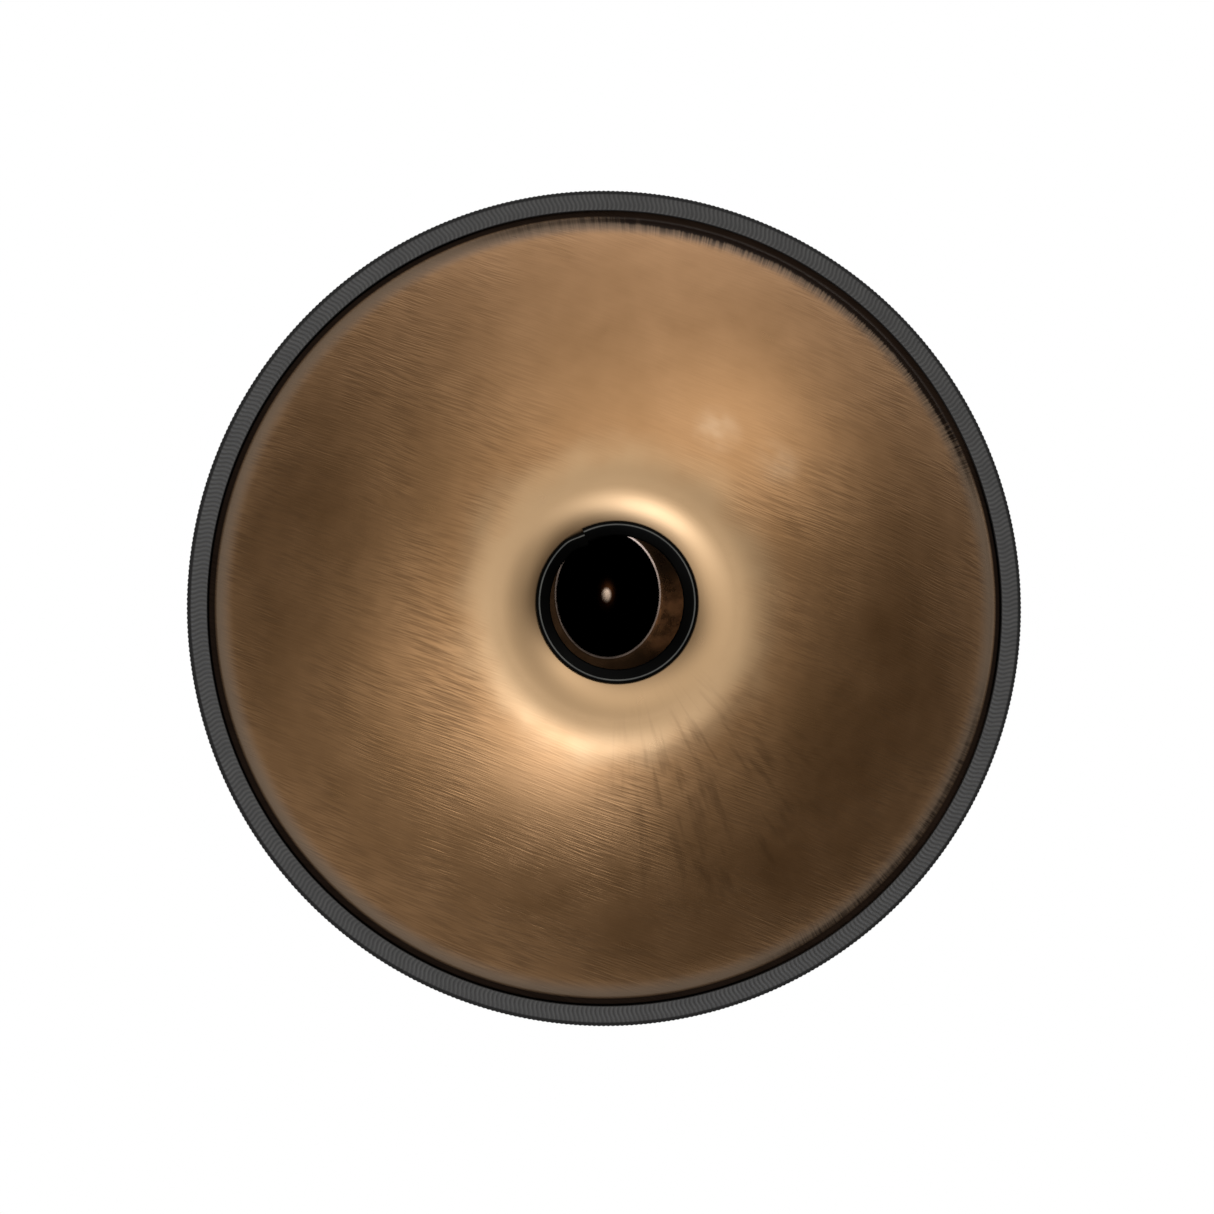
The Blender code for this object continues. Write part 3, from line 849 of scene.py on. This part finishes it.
def port_half_outline():
    """Half of the port trim's outline, on the side of the sheet's outer face: distance along the
    sheet from the trim's nose, and distance off the middle of the sheet."""
    sheet_face = SHEET / 2 + GAP
    outer_face = sheet_face + PORT_WALL
    points = [(0.0, 0.0)]
    for i in range(ROUNDING_SEGMENTS + 1):
        angle = math.pi / 2 * i / ROUNDING_SEGMENTS
        along = PORT_NOSE_ROUNDING * (1 - math.cos(angle))
        points.append((along, outer_face - PORT_NOSE_ROUNDING * (1 - math.sin(angle))))
    for i in range(ROUNDING_SEGMENTS + 1):
        angle = math.pi / 2 * i / ROUNDING_SEGMENTS
        along = PORT_LEG - PORT_END_ROUNDING * (1 - math.sin(angle))
        points.append((along, outer_face - PORT_END_ROUNDING * (1 - math.cos(angle))))
    return points + [(PORT_LEG, sheet_face), (PORT_WALL, sheet_face)]


def port_outline():
    """Closed outline of the port trim as radius and height, lying along the neck's cone."""
    half = port_half_outline()
    channel = half + [(along, -across) for along, across in half[:0:-1]]
    lip_radius, lip_height = lower_outline()[0]
    cosine, sine = math.cos(NECK_SLOPE), math.sin(NECK_SLOPE)
    outline = []
    for along, across in channel:
        from_lip = along - PORT_WALL - GAP
        off_face = SHEET / 2 - across
        radius = lip_radius + from_lip * cosine + off_face * sine
        outline.append((radius, lip_height - from_lip * sine + off_face * cosine))
    return np.array(outline)


def make_port_trim(surface):
    """The port trim, cut at its joint, where one end has slid towards the axis."""
    outline = port_outline()
    gap = PORT_JOINT_GAP / LIP_RADIUS
    angles = PORT_JOINT_ANGLE + gap / 2 + (TAU - gap) * np.linspace(0, 1, PORT_STEPS + 1)
    to_end = (angles[-1] - angles) / PORT_JOINT_REACH
    slid = PORT_JOINT_STEP * (1 - smooth(to_end))
    r = outline[:, :1] - slid * math.cos(NECK_SLOPE)
    z = outline[:, 1:] + slid * math.sin(NECK_SLOPE)
    points = np.stack([r * np.cos(angles), r * np.sin(angles), z], axis=-1)
    points = np.concatenate([points, points[:1]])
    ring = grid_object("port_trim_smooth", points, False)
    close_ends(ring)
    shade(ring, surface, 50)
    return place(ring, "port_trim")


def dress_cad_nodes():
    """The bond and the clip strip keep their CAD shape and get a better finish."""
    for node, surface in (("flange_bond", cured_adhesive()), ("rim_trim_core", spring_steel())):
        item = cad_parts[node]
        for slot in item.material_slots:
            slot.material = surface


# ---------------------------------------------------------------- studio


# Soft lights: name, azimuth in plan, angle off straight down, half-width, strength, colour
SOFT_LIGHTS = (
    ("key", 284, 28, 10.5, 3.9, (0.93, 1.0, 1.14)),
    ("key_halo", 255, 20, 19, 0.90, (1.0, 0.98, 0.94)),
    ("rear_sheet", 99, 101, 34, 0.85, (1.0, 1.0, 1.06)),
    ("rear_left_window", 131, 53, 15.5, 1.22, (1.0, 0.99, 0.97)),
    ("front_sheet", 312, 95, 35, 0.29, (1.0, 0.99, 0.97)),
    ("rear_glow", 83, 31, 24, 1.05, (1.0, 0.98, 0.94)),
    ("left_window", 197, 39, 9, 0.45, (1.0, 0.99, 0.97)),
    ("right_window", 335, 33, 17.5, 1.16, (1.0, 0.99, 0.97)),
    ("overhead", 0, 180, 30, 1.5, (1.0, 1.0, 1.0)),
    ("overhead_side", 250, 140, 18, 0.9, (1.0, 0.98, 0.95)),
)
AMBIENT_BELOW = (0.080, 0.066, 0.050, 1)
AMBIENT_ABOVE = (0.55, 0.56, 0.58, 1)
AMBIENT_CHANGE_HEIGHTS = (-0.15, 0.8)

FLOOR_COLOUR = (0.82, 0.82, 0.81, 1)
FLOOR_ROUGHNESS = 0.7
FLOOR_HALF_SIZE = 6.0
FLOOR_FADE_RADII = (0.9, 4.5)


def half_width_sharpness(degrees):
    """How sharply a glow has to fall off to be at half strength the given angle off its middle."""
    return math.log(2) / (1 - math.cos(math.radians(degrees)))


def make_world():
    """Soft studio light from smooth glows of set direction, width and strength, with a white
    backdrop behind the object."""
    world = bpy.data.worlds.new("studio")
    world.use_nodes = True
    bpy.context.scene.world = world
    graph = Graph(world.node_tree)
    direction = graph.add("ShaderNodeTexCoord", output="Generated")
    height = graph.add("ShaderNodeSeparateXYZ", {"Vector": direction}, output="Z")
    total = graph.mix(graph.step(height, *AMBIENT_CHANGE_HEIGHTS), AMBIENT_BELOW, AMBIENT_ABOVE)
    for _, azimuth, off_down, half_width, strength, colour in SOFT_LIGHTS:
        flat = math.sin(math.radians(off_down))
        towards = (
            flat * math.cos(math.radians(azimuth)),
            flat * math.sin(math.radians(azimuth)),
            -math.cos(math.radians(off_down)),
        )
        closeness = graph.vector("DOT_PRODUCT", direction, towards, output="Value")
        fall = graph.times(graph.math("SUBTRACT", closeness, 1.0), half_width_sharpness(half_width))
        glow = graph.math("EXPONENT", fall)
        lit = graph.vector("SCALE", tuple(strength * c for c in colour))
        graph.feed(lit.node.inputs["Scale"], glow)
        total = graph.vector("ADD", total, lit)
    seen = graph.add("ShaderNodeLightPath", output="Is Camera Ray")
    shown = graph.mix(seen, total, (1, 1, 1, 1))
    background = world.node_tree.nodes["Background"]
    graph.feed(background.inputs["Color"], shown)


def make_floor():
    """A pale floor that shows from above only, so that the underside can be seen from below. It
    fades into the white backdrop far from the object."""
    made = bpy.data.materials.new("pale_floor")
    made.use_nodes = True
    graph = Graph(made.node_tree)
    shader = made.node_tree.nodes["Principled BSDF"]
    shader.inputs["Base Color"].default_value = FLOOR_COLOUR
    shader.inputs["Roughness"].default_value = FLOOR_ROUGHNESS
    clear = graph.add("ShaderNodeBsdfTransparent")
    under = graph.add("ShaderNodeNewGeometry", output="Backfacing")
    place_on_floor = graph.add("ShaderNodeTexCoord", output="Object")
    far = graph.step(graph.vector("LENGTH", place_on_floor, output="Value"), *FLOOR_FADE_RADII)
    unseen = graph.plus(under, far)
    shown = graph.add("ShaderNodeMixShader", {0: unseen, 1: shader.outputs[0], 2: clear})
    output = made.node_tree.nodes["Material Output"]
    graph.feed(output.inputs["Surface"], shown)
    half = FLOOR_HALF_SIZE
    mesh = bpy.data.meshes.new("floor")
    corners = [(-half, -half, 0), (half, -half, 0), (half, half, 0), (-half, half, 0)]
    mesh.from_pydata(corners, [], [(0, 1, 2, 3)])
    mesh.materials.append(made)
    floor = bpy.data.objects.new("floor", mesh)
    bpy.context.scene.collection.objects.link(floor)
    floor.visible_shadow = False
    floor.visible_glossy = False
    floor.visible_diffuse = False


CAMERA_DISTANCE = 2.22
CAMERA_LEAN = math.radians(4.0)
CAMERA_LEAN_AZIMUTH = math.radians(-25)
LENS = 100.0


def make_camera():
    """Looks straight up at the underside, leaning a little off the axis."""
    middle = Vector((0, 0, BOND_MIDDLE))
    off_axis = math.sin(CAMERA_LEAN)
    away = Vector(
        (
            off_axis * math.cos(CAMERA_LEAN_AZIMUTH),
            off_axis * math.sin(CAMERA_LEAN_AZIMUTH),
            -math.cos(CAMERA_LEAN),
        )
    )
    data = bpy.data.cameras.new("camera")
    data.lens = LENS
    data.clip_end = 50
    camera = bpy.data.objects.new("camera", data)
    bpy.context.scene.collection.objects.link(camera)
    ahead = -away
    right = ahead.cross(Vector((0, 1, 0))).normalized()
    up = right.cross(ahead)
    turn_to = Matrix((right, up, -ahead)).transposed().to_4x4()
    camera.matrix_world = Matrix.Translation(middle + away * CAMERA_DISTANCE) @ turn_to
    bpy.context.scene.camera = camera


make_bottom_shell(bronze("brushed_bronze_look", True))
make_top_shell(bronze("hammered_bronze_look", False), sooty_inside_with_painted_light())
make_rim_trim(trim_pvc())
make_port_trim(black_rubber())
dress_cad_nodes()
make_world()
make_floor()
make_camera()
bpy.context.scene.view_settings.view_transform = "Standard"
